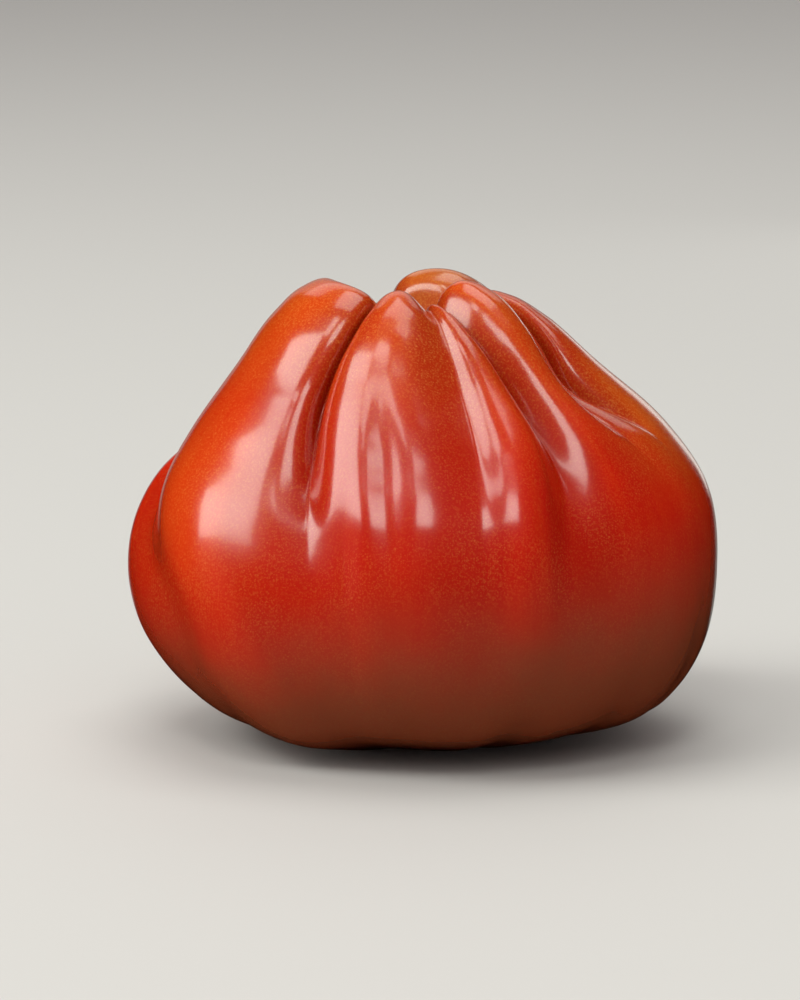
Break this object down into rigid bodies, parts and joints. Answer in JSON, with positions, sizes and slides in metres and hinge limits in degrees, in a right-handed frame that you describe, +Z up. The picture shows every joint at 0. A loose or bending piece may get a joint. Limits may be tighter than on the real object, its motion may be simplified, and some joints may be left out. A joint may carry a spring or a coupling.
{
  "type": "oxheart tomato",
  "caption": "Ripe oxheart tomato with deep ribs drawn up round a sunken stalk scar, standing on a small flat spot at its blossom end.",
  "frame": {"origin": "on the ground plane, under the middle of the bounding box", "axes": "+Z up through the stalk scar, -Y the front as seen in the picture, +X to the right from the front"},
  "size_m": [0.096, 0.0866, 0.0752],
  "materials": {
    "tomato_skin": "waxy, smooth and glossy red skin"
  },
  "bodies": {
    "root": {"tomato": "tomato_skin"}
  },
  "joints": []
}
